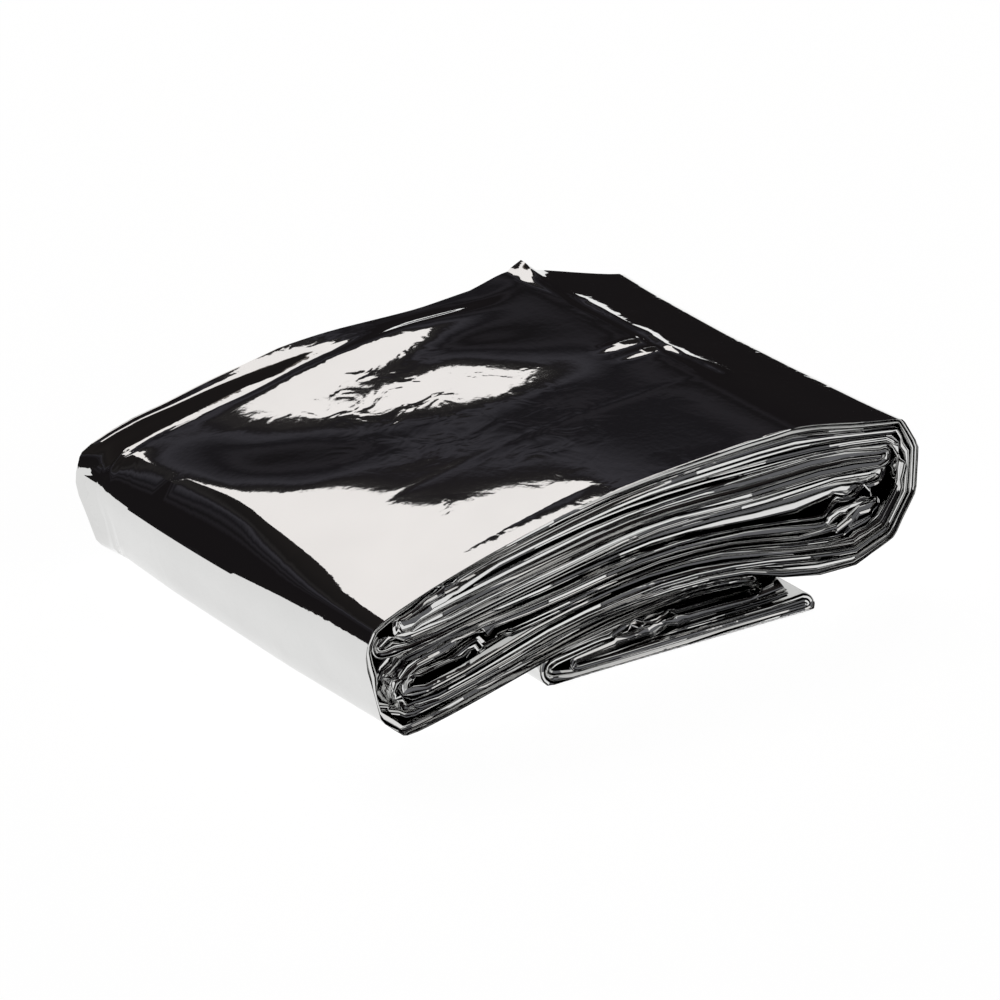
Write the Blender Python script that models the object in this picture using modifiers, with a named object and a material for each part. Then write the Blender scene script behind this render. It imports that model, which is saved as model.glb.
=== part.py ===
# An emergency foil blanket, folded into a packet that lies on its tail flap.
#
# The blanket is one sheet of metallised film. It is folded lengthwise to a strip as wide as the
# packet, and the strip is then folded back and forth along the packet. The solid here is that
# strip: one band that runs through every pass and every fold, with its passes a little apart.
#
# Frame: metres, +Z up, the surface it lies on at z = 0, origin under the middle of the packet.
# X runs along the passes, from the smooth end at -X to the rolled end at +X.
# Y runs across the strip, from the open front edges at -Y to the back edges at +Y.
# The tables below are in millimetres, and describe the cross-section at the front edges.

import math

import bmesh
import bpy

MM = 0.001

# Driving dimensions
PACKET_WIDTH = 85.0        # strip width, front edges to back edges
BAND_THICKNESS = 1.1       # the strip's film layers as one band
PASS_STEP = 10.0           # spacing of the section points along a pass
FOLD_STEPS = 7             # straight facets round a tight fold
WRAP_PITCH = 1.75          # spacing of the bands that wrap the rolled end
EDGE_STAGGER = 0.35        # how far the front and back edges of the passes stand out of line
BLANKET_COLOR = (0.78, 0.79, 0.81, 1.0)

# Lower and upper skin of the packet above the floor
#    x,   lower, upper
SKINS = (
    (-58.0, 3.0, 22.9),
    (-52.5, 0.0, 24.8),
    (-45.0, 1.0, 26.8),
    (-35.0, 2.8, 29.2),
    (-20.0, 5.8, 32.1),
    (-10.0, 7.2, 33.6),
    (0.0, 8.0, 34.2),
    (10.0, 8.1, 34.5),
    (20.0, 7.1, 34.8),
    (30.0, 5.3, 34.9),
    (40.0, 4.6, 33.1),
    (45.0, 4.2, 31.9),
    (50.0, 5.6, 30.6),
)

# Smooth left end, from the lower skin up to the upper skin
#    x,     height
LEFT_END = (
    (-51.5, 0.0),
    (-53.5, 0.0),
    (-58.3, 4.4),
    (-59.7, 10.0),
    (-61.2, 15.5),
    (-61.3, 18.2),
    (-59.8, 22.0),
    (-55.0, 23.9),
)

# Rolled right end, from the upper skin round to the lower skin
#    x,    height
RIGHT_END = (
    (50.0, 30.6),
    (54.4, 29.5),
    (58.3, 23.6),
    (58.2, 19.2),
    (58.1, 14.6),
    (55.0, 9.8),
    (53.4, 6.9),
    (49.0, 5.4),
    (45.0, 4.2),
)

# Height of the middle of each band between the two skins, at nine stations along the packet
STATIONS = (-57.0, -48.0, -40.0, -20.0, 0.0, 20.0, 32.0, 42.0, 50.0)
BANDS = {
    "under_1": (4.2, 2.8, 4.2, 8.4, 10.6, 9.5, 6.7, 5.0, 6.2),
    "under_2": (6.0, 4.5, 5.9, 10.5, 12.7, 11.3, 8.5, 6.7, 8.0),
    "under_3": (7.8, 6.2, 7.6, 12.5, 14.7, 13.1, 10.2, 8.4, 9.8),
    "void_floor": (9.0, 12.2, 12.9, 14.6, 16.7, 14.9, 11.9, 10.2, 11.6),
    "void_roof": (10.0, 13.8, 14.7, 16.6, 18.8, 16.7, 13.5, 12.4, 13.6),
    "middle_1": (11.0, 15.4, 16.5, 18.7, 20.9, 19.2, 19.2, 19.5, 17.9),
    "middle_2": (17.3, 17.0, 18.3, 20.8, 22.9, 21.7, 21.6, 21.6, 19.9),
    "middle_3": (18.9, 18.6, 20.1, 22.9, 25.1, 24.2, 24.0, 23.8, 22.0),
    "middle_4": (20.3, 20.1, 22.0, 25.1, 27.2, 26.7, 26.5, 26.0, 24.1),
    "inner_end": (21.4, 22.0, 23.9, 27.2, 29.3, 29.2, 28.9, 28.3, 26.2),
    "under_skin": (20.4, 23.4, 25.7, 29.3, 31.4, 31.7, 31.6, 30.1, 27.9),
}

# The flap folded under the packet: middle of each band
#               x:  -20,  -5,    5,   15,   24,   33
FLAP_STATIONS = (-20.0, -5.0, 5.0, 15.0, 24.0, 33.0)
FLAP_BANDS = {
    "flap_floor": (0.55, 0.55, 0.55, 0.55, 0.55, 0.55),
    "flap_2": (2.05, 2.3, 2.5, 2.3, 2.1, 2.1),
    "flap_3": (3.5, 4.1, 4.5, 4.1, 3.65, 3.6),
    "flap_roof": (4.95, 5.9, 6.5, 6.0, 5.25, 5.0),
}

# Loose loop where two bands meet inside the rolled end, from the upper band to the lower one
#    x,    height
NEST = (
    (38.5, 13.4),
    (41.0, 16.3),
    (44.3, 17.0),
    (47.6, 15.9),
    (49.2, 13.9),
    (48.0, 12.3),
    (45.0, 11.3),
)

# How the sections change from the front edges to the back ones.
FRONT, BACK = -PACKET_WIDTH / 2, PACKET_WIDTH / 2
#    x:  -60,  -50,  -40,  -30,  -20,  -10,   0,    10,   20,   35,   50,   56
CROSS_STATIONS = (-60.0, -50.0, -40.0, -30.0, -20.0, -10.0, 0.0, 10.0, 20.0, 35.0, 50.0, 56.0)
CROSS_SECTIONS = (         # y, rise of the upper skin at these x
    (FRONT, (0.0, 0.0, 0.0, 0.0, 0.0, 0.0, 0.0, 0.0, 0.0, 0.0, 0.0, 0.0)),
    (-28.0, (0.2, 0.5, 0.7, 0.5, 0.3, 0.1, 0.0, 0.0, 0.0, 0.0, 0.0, 0.0)),
    (-15.0, (0.8, 1.3, 1.0, 0.4, 0.0, -0.2, -0.1, -0.1, 0.0, 0.0, 0.0, 0.0)),
    (0.0, (1.6, 2.2, 1.1, 0.0, -0.6, -0.6, -0.3, -0.1, 0.0, 0.1, 0.1, 0.1)),
    (12.0, (1.5, 1.6, 0.2, -0.8, -0.9, -0.3, 0.6, 0.6, 0.2, 0.2, 0.2, 0.1)),
    (24.0, (0.6, 0.5, -0.6, -1.0, -0.8, -0.3, 0.5, 0.5, 0.2, 0.3, 0.1, -0.1)),
    (34.5, (-0.2, -0.3, -0.8, -0.7, -0.4, 0.2, 0.8, 0.7, 0.2, 0.4, -0.1, -0.4)),
    (39.0, (0.4, 0.6, 0.4, 0.3, 0.2, 0.0, -0.2, -0.2, 0.0, 0.6, -0.1, -0.5)),
    (BACK, (2.5, 2.2, 1.3, 0.8, 0.4, 0.0, -0.4, -0.4, 0.0, 0.7, -0.1, -0.5)),
)
# y, height of the crease along the left end, above which the film slopes in to the upper skin
LEFT_CREASE = (
    (FRONT, 19.2), (-28.0, 18.8), (-15.0, 18.2), (0.0, 17.0), (12.0, 16.9), (24.0, 16.8),
    (34.5, 17.1), (39.0, 17.7), (BACK, 23.3),
)
CREASE_X = -61.3
SHOULDER_SLOPE = 1.7       # rise of that slope for each millimetre in x
LEFT_BLEND = (-54.0, 5.0)  # x where the left end begins, and over how much it takes full effect
# y, how far the left end stands further out
LEFT_LEAN = ((FRONT, 0.0), (39.5, 0.5), (BACK, 2.6))
FLAP_LEFT = -21.5
FLAP_FORWARD = 0.8         # how far the flap's fold stands in front of the packet
FLAP_TURN = 0.045          # and what each millimetre towards its free end adds
FLAP_CLEARANCE = 2.0       # depth under the lower skin at which a band moves wholly with the flap
MIDDLE = (-2.44, -1.26)    # x and y of the middle of the packet's box, which is the origin


def interpolate(xs, values, x):
    """Straight-line value at x, held level past both ends."""
    if x <= xs[0]:
        return values[0]
    for index in range(1, len(xs)):
        if x <= xs[index]:
            share = (x - xs[index - 1]) / (xs[index] - xs[index - 1])
            return values[index - 1] + share * (values[index] - values[index - 1])
    return values[-1]


def skin_height(side, x):
    """Lower (side 1) or upper (side 2) skin at x."""
    return interpolate([row[0] for row in SKINS], [row[side] for row in SKINS], x)


def mid_height(name, x):
    """Middle of a band at x: its share of the packet's height, read between two stations."""
    half = BAND_THICKNESS / 2
    if name == "lower_skin":
        return skin_height(1, x) + half
    if name == "upper_skin":
        return skin_height(2, x) - half
    if name in FLAP_BANDS:
        return interpolate(FLAP_STATIONS, FLAP_BANDS[name], x)
    shares = []
    for station, height in zip(STATIONS, BANDS[name]):
        low, high = skin_height(1, station), skin_height(2, station)
        shares.append((height - low) / (high - low))
    low, high = skin_height(1, x), skin_height(2, x)
    return low + interpolate(STATIONS, shares, x) * (high - low)


def band_pass(name, start, end):
    """Section points of one pass from x = start to x = end."""
    count = max(1, round(abs(end - start) / PASS_STEP))
    points = []
    for index in range(count + 1):
        x = start + (end - start) * index / count
        points.append((x, mid_height(name, x)))
    return points


def fold(last, following, reach, steps=FOLD_STEPS):
    """Half-ellipse that turns from the last point to the following one, bulging by reach."""
    (x0, z0), (x1, z1) = last, following
    points = []
    for index in range(1, steps):
        angle = math.pi * index / steps
        along = (1 - math.cos(angle)) / 2
        points.append((x0 + (x1 - x0) * along + reach * math.sin(angle), z0 + (z1 - z0) * along))
    return points


def inset(outline, distance):
    """Outline moved towards its inner side, which lies to the right of its direction."""
    moved = []
    for index, (x, z) in enumerate(outline):
        before = outline[max(index - 1, 0)]
        after = outline[min(index + 1, len(outline) - 1)]
        normals = []
        for (xa, za), (xb, zb) in ((before, (x, z)), ((x, z), after)):
            length = math.hypot(xb - xa, zb - za)
            if length > 0:
                normals.append(((zb - za) / length, (xa - xb) / length))
        nx = sum(normal[0] for normal in normals) / len(normals)
        nz = sum(normal[1] for normal in normals) / len(normals)
        spread = nx * nx + nz * nz
        moved.append((x + distance * nx / spread, z + distance * nz / spread))
    return moved


def band_path():
    """Section of the whole strip, from its end inside the flap to its end inside the packet."""
    half = BAND_THICKNESS / 2
    left_end = inset(LEFT_END, half)
    wraps = [inset(RIGHT_END, half + WRAP_PITCH * turn) for turn in range(3)]

    # pass, x where it starts, x where it ends, what follows: a fold's bulge or a list of points
    route = (
        ("flap_3", 29.0, -16.0, -1.9),
        ("flap_2", -16.0, 29.5, 1.5),
        ("flap_floor", 31.0, -17.5, -3.2),
        ("flap_roof", -17.5, 22.5, 1.4),
        ("lower_skin", 22.0, -45.0, left_end),
        ("upper_skin", -48.0, 44.0, wraps[0]),
        ("under_1", 40.0, -47.5, -9.6),
        ("middle_1", -47.5, 50.0, 1.4),
        ("middle_2", 50.0, -57.0, -1.5),
        ("middle_3", -57.0, 49.5, 1.4),
        ("middle_4", 49.5, -52.5, -2.0),
        ("under_skin", -51.5, 44.0, wraps[1]),
        ("under_2", 40.0, -47.5, -7.9),
        ("void_roof", -47.5, 35.0, NEST),
        ("void_floor", 41.0, -47.5, -6.2),
        ("under_3", -47.5, 40.0, wraps[2][::-1]),
        ("inner_end", 44.0, -38.0, None),
    )
    path = []
    for index, (name, start, end, turn) in enumerate(route):
        points = band_pass(name, start, end)
        path += points
        if isinstance(turn, float):
            next_name, next_start = route[index + 1][:2]
            following = (next_start, mid_height(next_name, next_start))
            wide = abs(following[1] - points[-1][1]) > 5
            path += fold(points[-1], following, turn, FOLD_STEPS + 3 if wide else FOLD_STEPS)
        elif turn:
            path += list(turn)
    return path


def place(x, z, section, row, count):
    """A section point of the front outline, set into the section at another depth."""
    y, rises = CROSS_SECTIONS[section]
    stagger = EDGE_STAGGER * math.sin(7.1 * row / count * math.tau + 0.6)
    stagger *= (y / BACK) ** 3
    low, high = skin_height(1, x), skin_height(2, x)
    in_flap = min(max((low - z) / FLAP_CLEARANCE, 0), 1)
    y -= in_flap * (FLAP_FORWARD + FLAP_TURN * (x - FLAP_LEFT))
    share = min(max((z - low) / (high - low), 0), 1)
    leftness = min(max((LEFT_BLEND[0] - x) / LEFT_BLEND[1], 0), 1)
    z += interpolate(CROSS_STATIONS, rises, x) * share ** (1 + 6 * leftness)
    crease = interpolate([item[0] for item in LEFT_CREASE], [item[1] for item in LEFT_CREASE], y)
    shoulder = crease + SHOULDER_SLOPE * (x - CREASE_X)
    shoulder -= BAND_THICKNESS / 2 * math.hypot(1, SHOULDER_SLOPE)
    z = min(z, shoulder) if x < 0 else z
    lean = interpolate([item[0] for item in LEFT_LEAN], [item[1] for item in LEFT_LEAN], y)
    lean *= min(max((-x - 45) / 12, 0), 1) * (0.4 + 0.6 * share)
    return x - lean - MIDDLE[0], y + stagger - MIDDLE[1], z


def film_material():
    material = bpy.data.materials.new("metallised_film")
    material.use_nodes = True
    shader = material.node_tree.nodes["Principled BSDF"]
    shader.inputs["Base Color"].default_value = BLANKET_COLOR
    shader.inputs["Metallic"].default_value = 1.0
    shader.inputs["Roughness"].default_value = 0.08
    return material


def build_blanket(collection):
    """The strip as an open ribbon lofted through the sections, given its thickness by Solidify."""
    path = band_path()
    mesh = bpy.data.meshes.new("blanket")
    bm = bmesh.new()
    rows = []
    for section in range(len(CROSS_SECTIONS)):
        row = []
        for index, (x, z) in enumerate(path):
            x3, y3, z3 = place(x, z, section, index, len(path))
            row.append(bm.verts.new((x3 * MM, y3 * MM, z3 * MM)))
        rows.append(row)
    for front, back in zip(rows, rows[1:]):
        for index in range(len(path) - 1):
            bm.faces.new((front[index], front[index + 1], back[index + 1], back[index]))
    bm.to_mesh(mesh)
    bm.free()
    mesh.materials.append(film_material())

    blanket = bpy.data.objects.new("blanket", mesh)
    collection.objects.link(blanket)
    thickness = blanket.modifiers.new("thickness", "SOLIDIFY")
    thickness.thickness = BAND_THICKNESS * MM
    thickness.offset = 0.0
    thickness.use_even_offset = True
    return blanket


def main():
    for item in list(bpy.data.objects):
        bpy.data.objects.remove(item, do_unlink=True)
    collection = bpy.data.collections.new("emergency_foil_blanket")
    bpy.context.scene.collection.children.link(collection)
    build_blanket(collection)


main()
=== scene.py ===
import math

import bpy
import numpy as np
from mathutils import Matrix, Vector


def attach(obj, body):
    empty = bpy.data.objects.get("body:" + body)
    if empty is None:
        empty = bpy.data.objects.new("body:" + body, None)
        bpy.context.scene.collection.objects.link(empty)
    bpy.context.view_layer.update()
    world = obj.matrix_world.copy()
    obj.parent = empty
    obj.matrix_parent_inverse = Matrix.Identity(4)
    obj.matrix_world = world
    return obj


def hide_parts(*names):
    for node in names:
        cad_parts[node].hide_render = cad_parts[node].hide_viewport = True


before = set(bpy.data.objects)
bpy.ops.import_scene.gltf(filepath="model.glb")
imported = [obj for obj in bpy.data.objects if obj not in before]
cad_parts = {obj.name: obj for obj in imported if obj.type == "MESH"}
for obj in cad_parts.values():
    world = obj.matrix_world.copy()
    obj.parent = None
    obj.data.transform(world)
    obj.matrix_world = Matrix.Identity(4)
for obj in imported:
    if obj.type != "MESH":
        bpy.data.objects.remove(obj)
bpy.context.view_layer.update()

mm = 0.001
print("frame loaded")

# A folded foil blanket: one sheet of mirror film, folded lengthwise to a strip of many layers,
# and the strip folded back and forth. Sections are in mm, x along the packet, z up, as in the
# model; boxMiddle is the x and y there that lie under the middle of the packet's box.
boxMiddle = (-2.44, -1.26)

outline = {
    "skins": (                     # x, lower skin, upper skin along the front edges
        (-62.0, 3.0, 21.6), (-60.0, 3.0, 22.2), (-57.0, 2.6, 23.3), (-52.5, 0.0, 24.8),
        (-45.0, 1.0, 26.8), (-35.0, 2.8, 29.2), (-20.0, 5.8, 32.15), (-10.0, 7.2, 33.55),
        (0.0, 8.0, 34.2), (10.0, 8.1, 34.5), (20.0, 7.1, 34.8), (30.0, 5.3, 34.75),
        (35.0, 4.9, 33.95), (40.0, 4.6, 32.8), (45.0, 4.2, 31.65), (50.0, 5.6, 30.5),
        (54.4, 6.9, 29.8), (58.3, 12.0, 23.6)),
    "leftEnd": (                   # from the lower skin round to the upper one
        (-51.5, 0.0), (-53.5, 0.0), (-58.3, 4.4), (-59.7, 10.0), (-61.2, 15.5), (-61.3, 18.2),
        (-59.8, 22.0), (-55.0, 23.9)),
    "rightEnd": (                  # from the upper skin round to the lower one
        (50.0, 30.65), (54.4, 29.8), (58.3, 23.6), (58.2, 19.2), (58.1, 14.6), (55.0, 9.8),
        (53.4, 6.9), (49.0, 5.4), (45.0, 4.2)),
    "nest": (                      # loose loop between two bands inside the rolled end
        (38.5, 13.4), (41.0, 16.3), (44.3, 17.0), (47.6, 15.9), (49.2, 13.9), (48.0, 12.3),
        (45.0, 11.3)),
}

stations = (-57.0, -48.0, -40.0, -20.0, 0.0, 20.0, 32.0, 42.0, 50.0)
bands = {                          # height of each band's middle at the stations
    "under1": (4.2, 2.8, 4.2, 8.4, 10.6, 9.5, 6.7, 5.0, 6.2),
    "under2": (6.0, 4.5, 5.9, 10.5, 12.7, 11.3, 8.5, 6.7, 8.0),
    "under3": (7.8, 6.2, 7.6, 12.5, 14.7, 13.1, 10.2, 8.4, 9.8),
    "voidFloor": (9.0, 12.2, 12.9, 14.6, 16.7, 14.9, 11.9, 10.2, 11.6),
    "voidRoof": (10.0, 13.8, 14.7, 16.6, 18.8, 17.0, 14.3, 12.4, 13.6),
    "middle1": (11.0, 15.4, 16.5, 18.7, 20.9, 19.2, 18.2, 19.2, 17.9),
    "middle2": (17.3, 17.0, 18.3, 20.8, 22.9, 21.7, 21.6, 21.6, 19.9),
    "middle3": (18.9, 18.6, 20.1, 22.9, 25.1, 24.2, 24.0, 23.8, 22.0),
    "middle4": (20.3, 20.1, 22.0, 25.1, 27.2, 26.7, 26.5, 26.0, 24.1),
    "innerEnd": (21.4, 22.0, 23.9, 27.2, 29.3, 29.2, 28.9, 28.3, 26.2),
    "underSkin": (20.4, 23.4, 25.7, 29.3, 31.4, 31.7, 31.6, 30.1, 27.9),
}
flapStations = (-20.0, -5.0, 5.0, 15.0, 24.0, 33.0)
flapBands = {
    "flapFloor": (0.55, 0.55, 0.55, 0.55, 0.55, 0.55),
    "flap2": (2.05, 2.3, 2.5, 2.3, 2.1, 2.1),
    "flap3": (3.5, 4.1, 4.5, 4.1, 3.65, 3.6),
    "flapRoof": (4.95, 5.9, 6.5, 6.0, 5.25, 5.0),
}

# How far the upper skin rises above the front section, a row for each depth y
riseColumns = (-62, -57, -50, -40, -33, -20, -10, 0, 10, 20, 35, 50, 56)
rises = (
    (-42.5, (0, 0, 0, 0, 0, 0, 0, 0, 0, 0, 0, 0, 0)),
    (-28.0, (0.1, 0.2, 0.4, 0.8, 0.65, 0.4, 0.1, 0, 0, 0, 0, 0, 0)),
    (-15.0, (0.3, 1.3, 1.4, 1.2, 0.45, -0.1, -0.15, -0.1, -0.1, 0, 0, 0, 0)),
    (-2.0, (0.8, 2.4, 2.25, 1.3, 0.4, -0.6, -0.7, -0.5, -0.4, -0.1, 0.1, 0.1, 0)),
    (8.0, (0.9, 2.8, 1.9, 0.6, -0.6, -1.15, -0.6, 0.5, 0.75, 0.1, 0.2, 0.1, 0)),
    (17.0, (0.6, 2.0, 1.2, -0.45, -1.25, -0.95, -0.2, 1.2, 0.8, 0.1, 0.3, 0.1, 0)),
    (26.0, (0, 1.0, 0.4, -0.95, -0.95, -0.95, -0.6, 0.6, 0.3, 0.1, 0.4, 0.1, 0)),
    (34.0, (-0.4, 0.1, -0.3, -0.95, -0.75, -0.3, 0.45, 1.55, 1.2, 0.1, 0.45, 0.1, -0.1)),
    (36.8, (-0.6, -0.2, -0.7, -1.4, -1.2, -0.8, -0.2, 0.7, 0.5, 0, 0.5, 0.1, -0.1)),
    (38.6, (1.4, 2.6, 1.5, 0.95, 0.65, 0.15, -0.2, 0.1, -0.1, -0.1, 0.5, 0.1, -0.1)),
    (42.5, (0.6, 1.1, 0.5, 0.4, 0.8, 0.4, 0.1, -0.6, -0.5, 0, 0.5, 0.1, -0.1)),
)
rimShift = ((-60, 1.7), (-50, 1.2), (-25, 0), (-4, -1.4))     # x, how far back the rim lies
leftRidge = (                      # y, height of the crease between the left end and its shoulder
    (-42.5, 19.2), (-30.0, 18.9), (-15.0, 18.2), (0.0, 17.0), (20.0, 16.8), (36.0, 17.2),
    (39.4, 17.8), (40.4, 20.3), (42.5, 23.3),
)
rightWaist = (                     # y, how far inwards the rolled end lies there
    (-42.5, 0), (-34, 0.7), (-15, 1.3), (5, 1.7), (28, 1.1), (42.5, 0),
)
backPull = (                       # x, how far forward the back edge lies there
    (-60, -1.1), (-50, -1.9), (-38, -1.1), (-28, -0.2), (-20, -0.3), (-10, 1.0), (8, 2.9),
    (20, 3.0), (28, 0.6), (31, 0), (38, 1.4), (50, 4.0), (58, 4.4),
)
leftBelly = ((-42.5, 0), (-15, 1.0), (20, 1.0), (42.5, 0))  # y, outwards at the left end's foot

film = {
    "width": 2.1, "length": 1.6,   # the sheet as cut, in metres
    "layers": 25,                  # layers of film in the strip: 2.1 m over 85 mm
    "stripWidth": 85.0,
    "band": 1.1,                   # thickness of the packet's outer band
    "wrapPitch": 1.75,             # from one wrap round the rolled end to the next
    "foldSteps": 16,               # pieces in the round of a fold
    "looseness": 0.45,             # share of the room between two bands that a band fills
    "thickest": 1.5,               # and the most that it fills on one side
    "stagger": 0.35,               # how far the folded edges of the layers stand out of line
    "setback": 2.6, "edgeLean": 0.5,      # and how far whole passes stand back, and lean back
    "passStep": 8.0, "skinStep": 2.5, "crumpleStep": 1.5, "creaseStep": 0.7, "foldAngle": 0.34,
    "sharp": 0.6,                  # folds bent further than this, in radians, keep a crisp edge
    "waves": 0.3,                  # height of the slow waves of the layers
    "press": 0.6,                  # how far the outer layer stands off the next, between the edges
    "flapForward": 0.8, "flapTurn": 0.045, "flapLeft": -21.5, "flapClearance": 2.0,
    # gaps between the layers, innermost first: most folds are pinched, a few stand open, and
    # dark slots lie between them
    "frontGaps": (0.9, 0.05, 0.05, 2.4, 0.3, 0.05, 0.1, 0.9, 1.3, 0.05, 0.1, 3.8,
                  0.3, 0.05, 0.05, 1.2, 1.5, 0.05, 0.05, 3.0, 0.3, 0.1, 1.1, 0.9),
    "backGaps": (0.05, 3.6, 0.1, 0.05, 0.05, 5.0, 0.05, 0.1, 0.05, 4.2, 0.3, 0.05,
                 0.05, 5.4, 0.05, 0.05, 0.1, 3.2, 0.05, 4.8, 0.05, 0.05, 0.2, 0.4),
}
half = film["stripWidth"] / 2

crumples = (                       # where the film is crushed: x, z, half-width, half-height, size
    (44.5, 14.0, 7.5, 6.0, 1.7),
    (-54.5, 20.0, 5.5, 4.0, 1.2),
    (-54.5, 9.0, 5.5, 8.0, 1.15),
    (-38.0, 12.6, 8.0, 3.6, 1.5),
    (-46.0, 24.2, 7.0, 3.0, 0.85),
    (-2.0, 5.0, 11.0, 2.6, 1.15),
    (53.0, 22.0, 4.5, 8.0, 0.9),
)
wideFolds = (                      # gaps that open wide: gap, x, z, half-width, half-height, times
    (23, 8.0, 33.8, 22.0, 1.4, 9.0),
    (23, 20.0, 0.6, 13.0, 0.8, 8.0),
    (11, 30.0, 22.0, 20.0, 8.0, 3.0),
)
creases = (          # sharp lines across the upper skin: x, height, y from, y to, half-width
    (31.2, 0.16, -16, 40, 0.9), (34.1, 0.68, 10, 28, 1.4), (34.7, 0.66, -6, 10, 1.3),
    (35.6, 0.6, -17, -6, 1.2), (32.4, -0.14, -18, 40, 0.9), (31.6, 0.3, 27, 38, 0.9),
    (22.6, 0.06, -14, 18, 0.9), (33.0, 2.1, 32, 60, 2.9),
)
longCreases = (                    # and along it: y, height, x from, x to, half-width
    (-15.5, -0.03, -62, 30, 0.8), (-38.0, -0.19, -40, -11, 2.2), (38.4, 0.09, -50, -4, 0.5),
    (36.9, 0.09, -50, -4, 0.5), (3.4, 0.46, 22, 33, 1.2), (-1.2, 0.42, 23, 34, 1.2),
)
curl = {"x": -59.0, "y": 38.0, "wide": 2.4, "deep": 2.4, "height": 0.9,       # crushed corner
        "reach": 1.4, "cell": (1.9, 1.3)}


# Mean of what a function gives at shifts from -2 to 2, the middle ones counting most
def softMean(sample):
    shifts = [step / 3 for step in range(-6, 7)]
    weights = [math.exp(-0.5 * shift ** 2) for shift in shifts]
    return sum(weight * sample(shift) for weight, shift in zip(weights, shifts)) / sum(weights)


# A straight-line table of rows (place, value)
def fromTable(table, x):
    return np.interp(x, *zip(*table))


# The same, averaged over a width, so its corners are rounded
def softTable(table, x, width):
    return softMean(lambda shift: fromTable(table, x + shift * width))


# 0 before a place, 1 from a distance past it, and straight between
def ramp(x, start, length):
    return np.clip((x - start) / length, 0, 1)


skinWidths = ((-56, 0.8), (-51, 2.5), (46, 2.5), (53, 0.7))   # x, how wide its corners are rounded


def skin(name, x):
    column = ("lower", "upper").index(name) + 1
    return softTable([(row[0], row[column]) for row in outline["skins"]], x,
                     fromTable(skinWidths, x))


softRise = {
    "along": 5.0,                  # how far the table of rises is smoothed along the packet
    "across": ((28, 3.0), (34, 0.9)),      # and at each depth: sharper at the rim in the back
    "rimFrom": 30.0, "rimRamp": 6.0, "edgeRamp": 2.0,      # where the rim's shift comes in
}


# Rise of the upper skin at x and y, smooth both ways
def riseAt(x, y):
    depths = np.array([row[0] for row in rises])
    levels = np.array([softTable(list(zip(riseColumns, row[1])), x, softRise["along"])
                       for row in rises])
    shifts = fromTable(rimShift, x) * ramp(y, softRise["rimFrom"], softRise["rimRamp"])
    shifts *= ramp(-y, -half, softRise["edgeRamp"])
    reach = fromTable(softRise["across"], y)

    def levelAt(shift):
        depth = np.clip(y - shifts + shift * reach, depths[0], depths[-1])
        index = np.clip(np.searchsorted(depths, depth) - 1, 0, len(depths) - 2)
        share = (depth - depths[index]) / (depths[index + 1] - depths[index])
        low = np.take_along_axis(levels, index[None], 0)[0]
        high = np.take_along_axis(levels, index[None] + 1, 0)[0]
        return low + (high - low) * share

    return softMean(levelAt)


# arbitrary numbers that scatter the noise from one place, or one seed, to the next
noise = {"turns": (127.1, 311.7, 74.7), "seedTurn": 17.3, "spread": 43758.5453}


# Smooth noise from -1 to 1 on an array of points, three numbers each
def valueNoise(points, seed):
    cell = np.floor(points)
    part = points - cell
    part = part * part * (3 - 2 * part)
    total = np.zeros(points.shape[:-1])
    for corner in range(8):
        offset = np.array((corner & 1, corner >> 1 & 1, corner >> 2 & 1), float)
        where = cell + offset
        turn = where @ np.array(noise["turns"]) + seed * noise["seedTurn"]
        value = np.mod(np.sin(turn) * noise["spread"], 1.0)
        weight = np.prod(np.where(offset > 0, part, 1 - part), axis=-1)
        total += value * weight
    return total * 2 - 1


# Noise along one measure, drawn out into the three that the noise takes
def lineNoise(first, second, seed):
    first, second = np.broadcast_arrays(first, second)
    return valueNoise(np.stack([first, second, first * 0], -1), seed)


bandWidth = 3.0                    # how wide the corners of the bands' tables are rounded


def bandHeight(name, x):
    if name == "lowerSkin":
        return skin("lower", x) + film["band"] / 2
    if name == "upperSkin":
        return skin("upper", x) - film["band"] / 2
    if name in flapBands:
        return softTable(list(zip(flapStations, flapBands[name])), x, bandWidth)
    lows, highs = skin("lower", np.array(stations)), skin("upper", np.array(stations))
    shares = (np.array(bands[name]) - lows) / (highs - lows)
    low, high = skin("lower", x), skin("upper", x)
    return low + softTable(list(zip(stations, shares)), x, bandWidth) * (high - low)


# An outline moved to the right of its direction, which is its inner side
def inset(points, distance):
    moved = []
    for index, (x, z) in enumerate(points):
        before = points[max(index - 1, 0)]
        after = points[min(index + 1, len(points) - 1)]
        normals = []
        for (xa, za), (xb, zb) in ((before, (x, z)), ((x, z), after)):
            length = math.hypot(xb - xa, zb - za)
            if length > 0:
                normals.append(((zb - za) / length, (xa - xb) / length))
        nx = sum(normal[0] for normal in normals) / len(normals)
        nz = sum(normal[1] for normal in normals) / len(normals)
        spread = nx * nx + nz * nz
        moved.append((x + distance * nx / spread, z + distance * nz / spread))
    return moved


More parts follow.
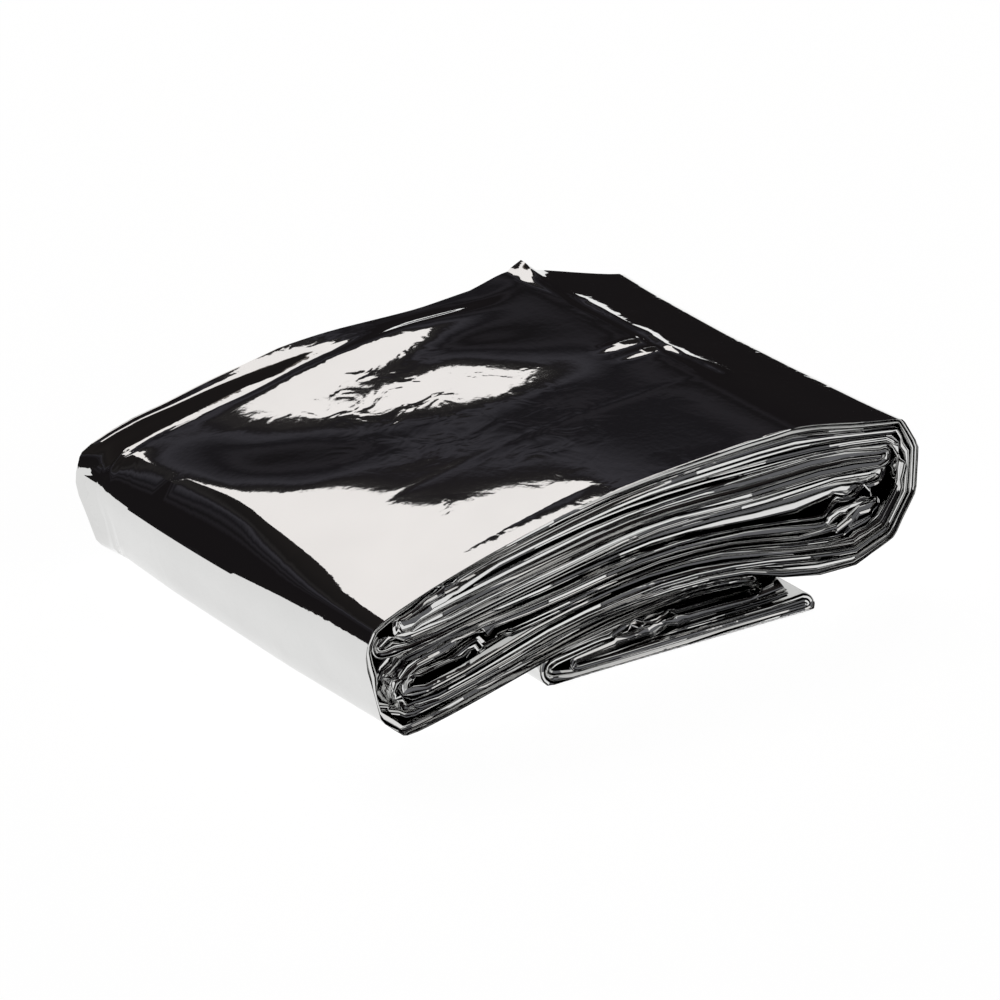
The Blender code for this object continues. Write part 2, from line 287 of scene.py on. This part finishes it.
# The strip's middle line through every pass and fold, as dense points, and marks that are 1
# where the strip is the packet's skin
def stripRoute():
    skinMiddle = film["band"] / 2
    leftEnd = inset(outline["leftEnd"], skinMiddle)
    wraps = [inset(outline["rightEnd"], skinMiddle + film["wrapPitch"] * turn)
             for turn in range(3)]
    # pass, x where it starts and ends, then a fold's bulge or the points that follow
    route = (
        ("flap3", 29.0, -16.0, -1.9),
        ("flap2", -16.0, 29.5, 1.5),
        ("flapFloor", 31.0, -20.0, -3.2),
        ("flapRoof", -20.0, 22.5, 1.4),
        ("lowerSkin", 22.0, -45.0, leftEnd),
        ("upperSkin", -48.0, 44.0, wraps[0]),
        ("under1", 40.0, -47.5, -9.6),
        ("middle1", -47.5, 50.0, 1.4),
        ("middle2", 50.0, -57.0, -1.5),
        ("middle3", -57.0, 49.5, 1.4),
        ("middle4", 49.5, -52.5, -2.0),
        ("underSkin", -51.5, 44.0, wraps[1]),
        ("under2", 40.0, -47.5, -7.9),
        ("voidRoof", -47.5, 35.0, outline["nest"]),
        ("voidFloor", 41.0, -47.5, -6.2),
        ("under3", -47.5, 40.0, wraps[2][::-1]),
        ("innerEnd", 44.0, -38.0, None),
    )
    points = []
    skinMarks = []
    for index, (name, start, end, turn) in enumerate(route):
        outer = name in ("lowerSkin", "upperSkin")
        for x in np.linspace(start, end, max(2, round(abs(end - start)))):
            points.append((x, bandHeight(name, x)))
            skinMarks.append(1.0 if outer else 0.0)
        if isinstance(turn, float):
            nextName, nextStart = route[index + 1][:2]
            (xa, za), (xb, zb) = points[-1], (nextStart, bandHeight(nextName, nextStart))
            for angle in np.linspace(0, math.pi, film["foldSteps"] + 1)[1:-1]:
                along = (1 - math.cos(angle)) / 2
                points.append((xa + (xb - xa) * along + turn * math.sin(angle),
                               za + (zb - za) * along))
                skinMarks.append(0.0)
        elif turn:
            onSkin = turn is leftEnd or turn is wraps[0]
            points += list(turn)
            skinMarks += [1.0 if onSkin else 0.0] * len(turn)
    return np.array(points), np.array(skinMarks)


def evenly(points, marks, step):
    lengths = np.concatenate(([0], np.cumsum(np.hypot(*np.diff(points, axis=0).T))))
    where = np.arange(0, lengths[-1], step)
    return (np.stack([np.interp(where, lengths, points[:, 0]),
                      np.interp(where, lengths, points[:, 1])], 1),
            np.interp(where, lengths, marks), where)


# Gaussian mean along the strip; reach is in points
def smoothed(values, reach):
    kernel = np.exp(-0.5 * (np.arange(-3 * reach, 3 * reach + 1) / reach) ** 2)
    kernel /= kernel.sum()
    padded = np.pad(values, [(3 * reach, 3 * reach)] + [(0, 0)] * (values.ndim - 1), "edge")
    if values.ndim == 1:
        return np.convolve(padded, kernel, "valid")
    return np.stack([np.convolve(padded[:, column], kernel, "valid")
                     for column in range(values.shape[1])], 1)


# How much of each crumpled place is felt at a point of the section
def crumpleShare(x, z):
    shares = []
    for cx, cz, wide, high, size in crumples:
        near = np.clip(1 - ((x - cx) / wide) ** 2 - ((z - cz) / high) ** 2, 0, 1)
        shares.append(size * near * near * (3 - 2 * near))
    return shares


rooms = {
    "step": 0.25,                  # between the places where the strip is measured
    "soften": 2, "blend": 6,       # over how many of them its line and its thickness are smoothed
    "every": 3,                    # neighbours are looked for from every third place
    "far": 9.0, "apart": 2.6,      # as far as this, and on parts of the strip this far along it
    "facing": 0.75,                # that lie this straight above or below
    "bent": 0.02,                  # a fold is bent more than this, in radians a mm,
    "inFold": 0.8, "least": 0.25,  # and inside it the film fills this share of the radius
    "crumpled": 0.12,              # the share from which a place counts as crumpled
    "creaseMiddle": 32.5, "creaseWide": 4.0, "creaseAbove": 28.0,    # where the sharp lines are
}


# Points along the strip, their normals, and the room that the film has on either side
def stripStations():
    points, marks = stripRoute()
    points, marks, where = evenly(points, marks, rooms["step"])
    points = smoothed(points, rooms["soften"])
    tangents = np.gradient(points, axis=0)
    tangents /= np.linalg.norm(tangents, axis=1, keepdims=True)
    normals = np.stack([-tangents[:, 1], tangents[:, 0]], 1)
    bend = np.gradient(np.unwrap(np.arctan2(tangents[:, 1], tangents[:, 0])), where)
    bend = smoothed(bend, rooms["soften"])
    isSkin = marks > 0.5

    coarse = np.arange(0, len(points), rooms["every"])
    sides = {}
    for side in (1, -1):
        room = np.full(len(coarse), rooms["far"])
        for row, index in enumerate(coarse):
            away = points[coarse] - points[index]
            distance = np.hypot(*away.T)
            ahead = away @ normals[index] * side
            other = ((np.abs(where[coarse] - where[index]) > rooms["apart"])
                     & (ahead > rooms["facing"] * distance))
            if other.any():
                room[row] = distance[other].min()
        room = np.interp(np.arange(len(points)), coarse, room)
        fill = np.minimum(room * film["looseness"], film["thickest"])
        inner = np.where(bend * side > rooms["bent"],
                         rooms["inFold"] / np.maximum(bend * side, rooms["bent"]), rooms["far"])
        fill = np.minimum(fill, np.maximum(inner, rooms["least"]))
        if side == 1:
            fill = np.where(isSkin, film["band"] / 2, fill)
        sides[side] = smoothed(fill, rooms["blend"])

    crumpled = sum(crumpleShare(points[:, 0], points[:, 1])) > rooms["crumpled"]
    crumpled &= ~isSkin
    creasedHere = (isSkin & (points[:, 1] > rooms["creaseAbove"])
                   & (np.abs(points[:, 0] - rooms["creaseMiddle"]) < rooms["creaseWide"]))
    keep = [0]
    for index in range(1, len(points)):
        reach = film["skinStep"] if isSkin[index] else film["passStep"]
        if creasedHere[index]:
            reach = film["creaseStep"]
        elif crumpled[index]:
            reach = film["crumpleStep"]
        turned = abs(bend[keep[-1]:index + 1]).sum() * rooms["step"]
        if where[index] - where[keep[-1]] >= reach or turned >= film["foldAngle"]:
            keep.append(index)
    keep.append(len(points) - 1)
    return {"middle": points[keep], "normals": normals[keep], "where": where[keep],
            "outer": sides[1][keep], "inner": sides[-1][keep], "skin": marks[keep],
            "crumpled": crumpled[keep]}


# Where the film has points across it. The outer layer's are depths in mm, closest where the
# skin bends, and the other layers' are shares of the half width, with the rows that have them
# as acrossFilm gives them.
across = {
    "skin": [42.5, 42.2, 41.5, 40.9, 40.4, 39.9, 39.4, 38.9, 38.4, 37.9, 37.4, 36.9, 36.4, 35.9,
             35.2, 34.2, 32.6, *np.linspace(30.2, 5.8, 10), 4.4, 3.4, 2.4, 1.0, -0.2, -1.2, -2.2,
             -3.6, -5.6, -8.0, -10.6, -13.2, -14.8, -15.5, -16.2, *np.linspace(-18.5, -36.0, 7),
             -37.3, -38.0, -38.6, -39.3, -40.6, -42.2],
    "skinEdge": 42.0,              # beyond this depth, every row has the skin's points
    "inner": ((-0.993, 0), (-0.97, 2), (-0.94, 2), (-0.9, 3), (-0.35, 1), (0.35, 1), (0.8, 1),
              (0.9, 3), (0.97, 2), (0.993, 0)),
    "foldRound": (0.12, 0.88), "foldOut": 1.003,     # two more points round a front fold
}


# Samples across the film: layer, depth from -1 in front to 1 behind, and the rows that have it:
# 0 all, 1 the outer skin's, 2 the crumpled ones, 3 both of these
def acrossFilm():
    top = film["layers"] - 1
    samples = [(top, y / half, 0 if abs(y) > across["skinEdge"] else 1) for y in across["skin"]]
    inner = across["inner"]
    for layer in range(top, 0, -1):
        if (top - layer) % 2 == 0:
            samples.append((layer, -1, 0))
            samples += [(layer - part, -across["foldOut"], 0) for part in across["foldRound"]]
            samples.append((layer - 1, -1, 0))
            samples += [(layer - 1, depth, kind) for depth, kind in inner]
        else:
            samples += [(layer, 1, 0), (layer - 1, 1, 0)]
            samples += [(layer - 1, depth, kind) for depth, kind in inner[::-1]]
    samples.append((0, 1 if top % 2 else -1, 0))
    return np.array(samples)


gapWaves = {
    "length": 70.0, "apart": 3.7,  # how fast a gap changes along the strip, and from the next
    "swing": 2.0,                  # and how much, in doublings
    "wideRamp": 3.0,               # how steeply the wide gaps open
}


# Place of each layer in its band at each station, from 0 at the inner side to 1
def layerOffsets(middle, where, gaps, seed):
    offsets = np.zeros((len(where), film["layers"]))
    for gap, loose in enumerate(gaps):
        swing = lineNoise(where / gapWaves["length"], gap * gapWaves["apart"], seed)
        loose = loose * 2 ** (gapWaves["swing"] * swing)
        for wideGap, x, z, wide, high, times in wideFolds:
            if gap == wideGap:
                near = 1 - ((middle[:, 0] - x) / wide) ** 2 - ((middle[:, 1] - z) / high) ** 2
                loose = loose * (1 + (times - 1) * np.clip(gapWaves["wideRamp"] * near, 0, 1))
        offsets[:, gap + 1] = offsets[:, gap] + loose
    return offsets / offsets[:, -1:]


crushing = {
    "ridge": 2.2,                  # sharpness of the ridges
    "cell": (2.6, 6.0, 2.0),       # their size in x, y and z
    "high": 0.8,                   # how much they move up and down, for 1 along the packet
    "small": 0.4, "smaller": 1.9,  # and the smaller dents on them
}


# Noise with sharp ridges, up to 1
def ridged(points, seed):
    return 1 - crushing["ridge"] * np.abs(valueNoise(points, seed))


# How far points are pushed about where the film is crumpled
def crushed(x, y, z):
    at = np.stack([x, y, z], -1) / crushing["cell"]
    dx = np.zeros_like(x)
    dz = np.zeros_like(x)
    for index, share in enumerate(crumpleShare(x, z)):
        dx += share * ridged(at, 20 + index)
        dz += share * crushing["high"] * ridged(at, 40 + index)
        dz += share * crushing["small"] * valueNoise(at * crushing["smaller"], 90 + index)
    return dx, dz


creaseLook = {
    "length": 7.0, "apart": 3.1,   # how fast a line changes along its way, and from the next one
    "wander": 0.8,                 # how far it leaves its straight way, mm
    "share": 0.85, "swing": 0.6,   # its height, as a share of the table's
    "longFade": 3.0,               # how fast the lines along the packet run out
    "above": 20.0, "fadeUp": 2.0,  # only the upper skin has them
}


# Height of the sharp lines across the upper skin and along it
def creased(x, y, z):
    total = np.zeros_like(x)
    for index, (place, height, start, end, wide) in enumerate(creases):
        line = (y / creaseLook["length"], index * creaseLook["apart"])
        wander = creaseLook["wander"] * lineNoise(*line, 60)
        swing = creaseLook["swing"] * lineNoise(*line, 70 + index)
        strength = np.clip(creaseLook["share"] + swing, 0, 1)
        strength = strength * ramp(np.minimum(y - start, end - y), 0, 2 * wide)
        total += height * strength * np.clip(1 - np.abs(x - place - wander) / wide, 0, 1)
    for place, height, start, end, wide in longCreases:
        fade = ramp(np.minimum(x - start, end - x), 0, creaseLook["longFade"])
        total += height * fade * np.clip(1 - np.abs(y - place) / wide, 0, 1)
    total *= ramp(z, creaseLook["above"], creaseLook["fadeUp"])
    off = np.hypot((x - curl["x"]) / curl["wide"], (y - curl["y"]) / curl["deep"])
    at = np.stack([x / curl["cell"][0], y / curl["cell"][1], z * 0], -1)
    return total + curl["height"] * np.clip(curl["reach"] - off, 0, 1) * ridged(at, 81)


packet = {
    "insideTo": 34.0,              # behind this depth, the passes inside don't follow the skin
    "above": 1.05,                 # the highest share of the height that rises with the skin
    "leftRise": (54.0, 5.0), "leftPower": 6.0,       # at the left end, only the top rises
    "ridgeWidths": ((26, 6.0), (36, 0.4)),           # y, how wide the left crease's bends are
    "shoulderFoot": -61.3, "shoulderSlope": 1.7,     # the slope up from the left crease
    "shoulderTo": -45.0, "shoulderGap": 2.0, "shoulderRound": 0.02,
    "leftLean": ((-42.5, 0.0), (39.5, 0.5), (42.5, 2.6)), "leanFoot": 0.4,
    "leanRise": (45.0, 12.0), "waistRise": (30.0, 25.0), "pullRise": (15.0, 27.0),
}


# A point of the front section, set into the packet at depth y
def placed(x, y, z, onSkin, beneath):
    # passes inside have few points across, so their back ends stay below the skin's dips
    calm = np.where(onSkin > 0.5, y, np.minimum(y, packet["insideTo"]))
    low, high = skin("lower", x), skin("upper", x)
    inFlap = ramp(-z, -low, film["flapClearance"])
    y = y - inFlap * (film["flapForward"] + film["flapTurn"] * (x - film["flapLeft"]))
    share = np.clip((z - low) / (high - low), 0, packet["above"])
    leftness = ramp(-x, *packet["leftRise"])
    lifted = riseAt(x, calm) * share ** (1 + packet["leftPower"] * leftness)
    # the shoulder is a slope up from the left crease, which cuts off what is above it
    ridge = softTable(leftRidge, calm, fromTable(packet["ridgeWidths"], calm))
    shoulder = (ridge + packet["shoulderSlope"] * (x - packet["shoulderFoot"])
                - packet["shoulderGap"] * beneath)
    over = z + lifted - shoulder
    cut = over / 2 + np.sqrt(over * over / 4 + packet["shoulderRound"])
    lifted -= np.where(x < packet["shoulderTo"], cut, 0)
    lean = fromTable(packet["leftLean"], calm)
    lean = lean * (packet["leanFoot"] + (1 - packet["leanFoot"]) * share)
    lean = (lean + fromTable(leftBelly, y) * (1 - share)) * ramp(-x, *packet["leanRise"])
    waist = fromTable(rightWaist, calm) * ramp(x, *packet["waistRise"])
    pull = fromTable(backPull, x) * ramp(y, *packet["pullRise"])
    return x - lean - waist, y - pull, z + lifted


edges = {
    "turn": 0.6,                   # how soon the front's gaps give way to the back's
    "pressPower": 8,               # how near to the edges the skin stands off the next layer
    "innerBeneath": 1.6,           # how far below the skin the passes inside count as, mm
    "from": 36.0, "ramp": 6.5,     # the folded edges' stagger: where it starts,
    "length": 40.0, "apart": 5.3, "sides": 2.2,      # and how it changes from place to place
    "passLength": 75.0, "passShare": 0.5, "passSwing": 0.6, "leanSwing": 0.9, "leanFrom": 31.0,
    "lifts": 0.5, "setFrom": 0.88, "setRamp": 0.1,   # and that of whole passes
    "skinPower": 4,
    "floor": 1.0, "floorRamp": 2.0,                  # what lies on the floor stays flat
    "waveCell": (22.0, 26.0, 3.1), "rippleCell": (11.0, 11.0, 1.7), "ripple": 0.35,
    "seenAbove": 9.0, "seenPast": 50.0,              # the part of the skin that is seen
}


def filmPoints():
    strip = stripStations()
    middle, normals, where = strip["middle"], strip["normals"], strip["where"]
    samples = acrossFilm()
    front = layerOffsets(middle, where, film["frontGaps"], 3)
    back = layerOffsets(middle, where, film["backGaps"], 4)
    layers, depths = samples[:, 0], samples[:, 1]
    low = np.floor(layers).astype(int)
    part = layers - low
    high = np.minimum(low + 1, film["layers"] - 1)
    backness = np.clip(0.5 + depths * edges["turn"], 0, 1)
    position = ((front[:, low] * (1 - part) + front[:, high] * part) * (1 - backness)
                + (back[:, low] * (1 - part) + back[:, high] * part) * backness)
    outer, inner = strip["outer"][:, None], strip["inner"][:, None]
    shift = -inner + position * (outer + inner)
    onSkin = strip["skin"][:, None]
    lower = np.clip(film["layers"] - 1 - layers, 0, 1)[None, :] * onSkin
    shift -= film["press"] * lower * (1 - np.abs(depths[None, :]) ** edges["pressPower"])
    beneath = np.where(onSkin > 0.5, outer - shift, edges["innerBeneath"])

    # the front section at every sample, then the folded edges' stagger and the passes' setback
    x = middle[:, 0:1] + normals[:, 0:1] * shift
    z = middle[:, 1:2] + normals[:, 1:2] * shift
    depth = depths[None, :] * half
    edge = ramp(np.abs(depth), edges["from"], edges["ramp"]) ** 2
    foldIndex = np.floor(layers / 2 + 0.25)[None, :]
    at = np.stack(np.broadcast_arrays(where[:, None] / edges["length"],
                                      foldIndex * edges["apart"],
                                      np.sign(depth) * edges["sides"]), -1)
    depth = depth + np.sign(depth) * edge * film["stagger"] * valueNoise(at, 7)
    passes = np.stack([where / edges["passLength"], where * 0, where * 0], -1)
    setback = edges["passShare"] + edges["passSwing"] * valueNoise(passes, 8)[:, None]
    lean = 1 + edges["leanSwing"] * valueNoise(passes + edges["leanFrom"], 9)[:, None]
    setback = (film["setback"] * setback
               + film["edgeLean"] * lean * (z - middle[:, 1:2] + edges["lifts"]))
    setback *= ramp(-depths, edges["setFrom"], edges["setRamp"])[None, :]
    setback *= 1 - onSkin * position ** edges["skinPower"]
    depth = depth + np.maximum(setback, 0)

    # slow waves, crumpled places, the packet's own form and the sharp lines
    free = (1 - onSkin * position) * ramp(z, edges["floor"], edges["floorRamp"])
    at = np.stack([x, depth, z], -1)
    waves = (valueNoise(at / edges["waveCell"], 11)
             + edges["ripple"] * valueNoise(at / edges["rippleCell"], 12))
    z = z + film["waves"] * free * waves
    dx, dz = crushed(x, depth, z)
    x, z = x + dx * free, z + dz * free
    x, y, z = placed(x, depth, z, onSkin, beneath)
    outermost = (layers == film["layers"] - 1)[None, :] * onSkin
    z = np.maximum(z + creased(x, y, z) * outermost, 0.0)
    points = np.stack([x - boxMiddle[0], y - boxMiddle[1], z], -1) * mm
    acrossLengths = np.concatenate(([0], np.cumsum(np.abs(np.diff(depths)) * half))) * mm

    # each row has all the samples of its kinds only
    onOuter = strip["skin"] > 0.5
    seen = onOuter & ((middle[:, 1] > edges["seenAbove"])
                      | (np.abs(middle[:, 0]) > edges["seenPast"]))
    rows = {0: np.ones_like(onOuter), 1: seen, 2: strip["crumpled"], 3: seen | strip["crumpled"]}
    used = np.stack([rows[int(kind)] for kind in samples[:, 2]], 1)
    return points, where * mm, acrossLengths, used


# Faces of the grid; a row that has fewer points is joined by faces with more corners
def filmFaces(used):
    faces = []
    width = used.shape[1]
    for row in range(len(used) - 1):
        near = np.flatnonzero(used[row])
        far = np.flatnonzero(used[row + 1])
        shared = np.flatnonzero(used[row] & used[row + 1])
        for left, right in zip(shared[:-1], shared[1:]):
            bottom = near[np.searchsorted(near, left):np.searchsorted(near, right) + 1]
            above = far[np.searchsorted(far, left):np.searchsorted(far, right) + 1]
            faces.append([row * width + int(index) for index in bottom]
                         + [(row + 1) * width + int(index) for index in above[::-1]])
    return faces


def buildFilm():
    points, alongLengths, acrossLengths, used = filmPoints()
    rows, columns = points.shape[:2]
    faces = filmFaces(used)
    names = np.cumsum(used.ravel()) - 1          # the points that the faces use, in order
    mesh = bpy.data.meshes.new("film")
    mesh.from_pydata(points.reshape(-1, 3)[used.ravel()].tolist(), [],
                     [[int(names[index]) for index in face] for face in faces])
    uvLayer = mesh.uv_layers.new(name="filmUV")
    uvs = np.stack(np.meshgrid(alongLengths, acrossLengths, indexing="ij"), -1)
    uvs = uvs.reshape(-1, 2)[used.ravel()]
    loops = np.empty(len(mesh.loops), dtype=np.int32)
    mesh.loops.foreach_get("vertex_index", loops)
    uvLayer.data.foreach_set("uv", uvs[loops].astype(np.float32).ravel())
    mesh.polygons.foreach_set("use_smooth", [True] * len(mesh.polygons))
    mesh.set_sharp_from_angle(angle=film["sharp"])
    mesh.validate()
    piece = bpy.data.objects.new("film", mesh)
    bpy.context.scene.collection.objects.link(piece)
    piece.data.materials.append(filmMaterial())
    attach(piece, "root")
    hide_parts("blanket")
    triangles = sum(len(face) - 2 for face in faces)
    print("film:", rows, "by", columns, "points,", triangles, "triangles")


# A shader socket that can be added and multiplied
class Value:
    def __init__(self, build, socket):
        self.build = build
        self.socket = socket

    def maths(self, operation, other, swapped=False):
        pair = (other, self) if swapped else (self, other)
        return self.build.node("ShaderNodeMath", {"operation": operation},
                               {0: pair[0], 1: pair[1]})

    def __add__(self, other): return self.maths("ADD", other)
    def __radd__(self, other): return self.maths("ADD", other, True)
    def __mul__(self, other): return self.maths("MULTIPLY", other)
    def __rmul__(self, other): return self.maths("MULTIPLY", other, True)


# One material and the nodes that are put in it
class Finish:
    def __init__(self, name):
        self.material = bpy.data.materials.new(name)
        self.material.use_nodes = True
        self.tree = self.material.node_tree
        self.shader = self.tree.nodes["Principled BSDF"]

    def put(self, target, value):
        if isinstance(value, Value):
            self.tree.links.new(value.socket, target)
        else:
            target.default_value = value

    def node(self, kind, settings=None, inputs=None, output=0):
        made = self.tree.nodes.new(kind)
        for name, value in (settings or {}).items():
            setattr(made, name, value)
        for key, value in (inputs or {}).items():
            self.put(made.inputs[key], value)
        return Value(self, made.outputs[output])

    def set(self, **inputs):
        for name, value in inputs.items():
            self.put(self.shader.inputs[name.replace("_", " ")], value)


filmLook = {
    "bright": (0.72, 0.72, 0.712, 1.0), "dull": (0.66, 0.66, 0.655, 1.0), "mottle": 60.0,
    "roughness": 0.04,
    "slowWrinkle": {"Scale": 170.0, "Detail": 2.0, "Roughness": 0.45, "Distortion": 0.5},
    "fineWrinkle": {"Scale": 900.0, "Detail": 2.0}, "fineShare": 0.05,
    "patches": {"Scale": 30.0, "Detail": 1.0}, "patchRange": (0.42, 0.62), "leastWrinkled": 0.1,
    "wrinkleHeight": 0.00011,      # metres
}


def filmMaterial():
    look = filmLook
    finish = Finish("metallisedFilm")
    uv = finish.node("ShaderNodeUVMap", {"uv_map": "filmUV"})

    def clouds(inputs):
        return finish.node("ShaderNodeTexNoise", {"noise_dimensions": "2D"},
                           {"Vector": uv, **inputs})

    # the film is wrinkled in patches and nearly flat between them
    slow, fine = clouds(look["slowWrinkle"]), clouds(look["fineWrinkle"])
    worn = finish.node("ShaderNodeMapRange", {"clamp": True},
                       {"Value": clouds(look["patches"]), "From Min": look["patchRange"][0],
                        "From Max": look["patchRange"][1], "To Min": look["leastWrinkled"],
                        "To Max": 1.0})
    height = slow * worn + fine * look["fineShare"]
    bump = finish.node("ShaderNodeBump", inputs={
        "Strength": 1.0, "Distance": look["wrinkleHeight"], "Height": height})
    mottle = clouds({"Scale": look["mottle"], "Detail": 4.0})
    color = finish.node("ShaderNodeMix", {"data_type": "RGBA"},
                        {"Factor": mottle, 6: look["dull"], 7: look["bright"]}, output=2)
    finish.set(Base_Color=color, Metallic=1.0, Roughness=look["roughness"], Normal=bump)
    return finish.material


floorLook = {"size": 16.0, "color": (0.2, 0.2, 0.2, 1.0), "roughness": 0.6, "glow": 0.97,
             "shine": 0.2}


def floorMaterial():
    finish = Finish("paleFloor")
    finish.set(Base_Color=floorLook["color"], Roughness=floorLook["roughness"],
               Emission_Color=(1.0, 1.0, 1.0, 1.0), Emission_Strength=floorLook["glow"],
               Specular_IOR_Level=floorLook["shine"])
    return finish.material


def buildFloor():
    bpy.ops.object.select_all(action="DESELECT")
    bpy.ops.mesh.primitive_plane_add(size=floorLook["size"], location=(0, 0, 0))
    floor = bpy.context.active_object
    floor.name = "floor"
    floor.data.materials.append(floorMaterial())
    print("floor laid")


# Soft lights: direction from the packet (degrees), distance, size, brightness of the surface
softLights = {
    "backBox": {"azimuth": 65, "height": 45, "distance": 1.5, "size": (1.1, 0.5), "glow": 1.15,
                "color": (1.0, 0.965, 0.95)},
    "boxFrame": {"azimuth": 65, "height": 55.8, "distance": 1.5, "size": (1.1, 0.06),
                 "glow": 0.16, "color": (1.0, 0.88, 0.79)},
    "frontBox": {"azimuth": -68, "height": 36, "distance": 1.6, "size": (0.7, 0.55), "glow": 0.8,
                 "color": (1.0, 0.975, 0.95)},
    "frontWall": {"azimuth": -58, "height": 19, "distance": 1.9, "size": (2.3, 1.3),
                  "glow": 0.14, "color": (0.93, 0.95, 1.0)},
}
lightsFrom = (0, 0, 0.03)          # the place that they are set round, in metres


def buildLights():
    middle = Vector(lightsFrom)
    for name, box in softLights.items():
        azimuth, height = math.radians(box["azimuth"]), math.radians(box["height"])
        away = Vector((math.cos(azimuth) * math.cos(height), math.sin(azimuth) * math.cos(height),
                       math.sin(height)))
        lamp = bpy.data.lights.new(name, "AREA")
        lamp.shape = "RECTANGLE"
        lamp.size, lamp.size_y = box["size"]
        lamp.color = box["color"]
        lamp.energy = box["glow"] * math.pi * lamp.size * lamp.size_y
        holder = bpy.data.objects.new(name, lamp)
        holder.location = middle + away * box["distance"]
        holder.rotation_euler = away.to_track_quat("Z", "Y").to_euler()
        bpy.context.scene.collection.objects.link(holder)
    print("lights:", len(softLights))


# The dark room above the floor: height of the direction, from 0 at the horizon to 1 overhead,
# and its colour; faint bands give the black reflections some life
room = (
    (0.0, (0.012, 0.0105, 0.011)), (0.3, (0.011, 0.0095, 0.0105)), (0.34, (0.021, 0.019, 0.022)),
    (0.37, (0.01, 0.009, 0.01)), (0.41, (0.026, 0.024, 0.028)), (0.44, (0.012, 0.011, 0.013)),
    (0.5, (0.046, 0.044, 0.052)), (0.53, (0.015, 0.0135, 0.015)), (0.56, (0.027, 0.025, 0.025)),
    (0.6, (0.014, 0.0125, 0.0125)), (0.75, (0.019, 0.0165, 0.016)), (1.0, (0.014, 0.012, 0.012)),
)


def buildWorld():
    world = bpy.data.worlds.new("studio")
    bpy.context.scene.world = world
    world.use_nodes = True
    nodes, links = world.node_tree.nodes, world.node_tree.links
    coordinates = nodes.new("ShaderNodeTexCoord")
    parts = nodes.new("ShaderNodeSeparateXYZ")
    shades = nodes.new("ShaderNodeValToRGB")
    stops = shades.color_ramp.elements
    for place, _ in room[1:-1]:
        stops.new(place)
    for stop, (place, color) in zip(stops, room):
        stop.position = place
        stop.color = (*color, 1)
    links.new(coordinates.outputs["Generated"], parts.inputs[0])
    links.new(parts.outputs["Z"], shades.inputs[0])
    links.new(shades.outputs[0], nodes["Background"].inputs["Color"])
    print("room:", len(room), "shades")


shot = {"azimuth": -36.25, "height": 25.98, "distance": 1.0, "nearest": 0.05,
        "focalPixels": 5591.0, "origin": (510.8, 564.9),     # in pixels of the photograph
        "frame": 1000.0, "sensor": 36.0}


# The photograph's view: a long lens a metre away
def buildCamera():
    azimuth, height = math.radians(shot["azimuth"]), math.radians(shot["height"])
    back = Vector((math.sin(azimuth) * math.cos(height), -math.cos(azimuth) * math.cos(height),
                   math.sin(height)))
    middle = Vector((-boxMiddle[0], -boxMiddle[1], 0)) * mm
    lens = bpy.data.cameras.new("camera")
    lens.sensor_width = shot["sensor"]
    lens.lens = shot["focalPixels"] / shot["frame"] * shot["sensor"]
    lens.shift_x = 0.5 - shot["origin"][0] / shot["frame"]
    lens.shift_y = shot["origin"][1] / shot["frame"] - 0.5
    lens.clip_start = shot["nearest"]
    camera = bpy.data.objects.new("camera", lens)
    camera.location = middle + back * shot["distance"]
    camera.rotation_euler = back.to_track_quat("Z", "Y").to_euler()
    bpy.context.scene.collection.objects.link(camera)
    bpy.context.scene.camera = camera
    bpy.context.scene.view_settings.view_transform = "Standard"
    print("camera placed")


buildCamera()
buildFloor()
buildLights()
buildWorld()
buildFilm()
